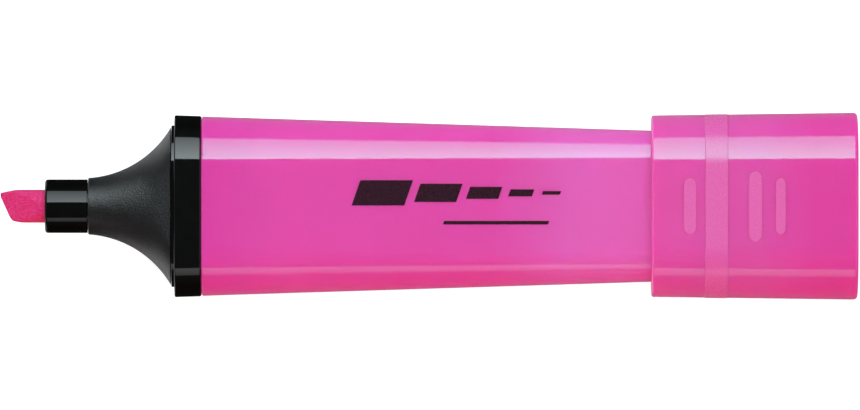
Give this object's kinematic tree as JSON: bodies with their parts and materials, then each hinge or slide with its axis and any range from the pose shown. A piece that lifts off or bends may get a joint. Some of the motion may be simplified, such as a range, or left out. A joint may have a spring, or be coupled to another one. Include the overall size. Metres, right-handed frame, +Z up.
{
  "type": "capped chisel-tip text marker",
  "caption": "Flat wedge-bodied text marker with a slanted felt chisel nib, black flared grip and pull-off cap posted on the tail.",
  "frame": {"origin": "centre of the part's box, at the height of the surface that it lies on", "axes": "+X along the pen from nib to cap, +Y across the broad face, +Z up out of the upper broad face"},
  "size_m": [0.1224, 0.0268, 0.0152],
  "materials": {
    "barrel_plastic": "glossy fluorescent pink moulded plastic",
    "cap_plastic": "glossy fluorescent pink moulded plastic with a frosted raised pattern",
    "gloss_black": "glossy black moulded plastic",
    "soft_black": "fine-textured matt black",
    "felt": "ink-soaked pressed fibre",
    "fibre": "ink-soaked fibre bundle",
    "film": "clear wrap",
    "inner_plastic": "natural white moulded plastic"
  },
  "bodies": {
    "pen": {"barrel": "barrel_plastic", "front_section": "gloss_black", "grip_sleeve": "soft_black", "nib_holder": "gloss_black", "nib": "felt", "ink_reservoir": "fibre", "reservoir_film": "film"},
    "cap": {"cap_shell": "cap_plastic", "cap_inner_sleeve": "inner_plastic"}
  },
  "joints": [
    {"name": "cap_pull", "type": "slide", "parent": "pen", "child": "cap", "axis": [1, 0, 0], "range_m": [0, 0.02]}
  ]
}
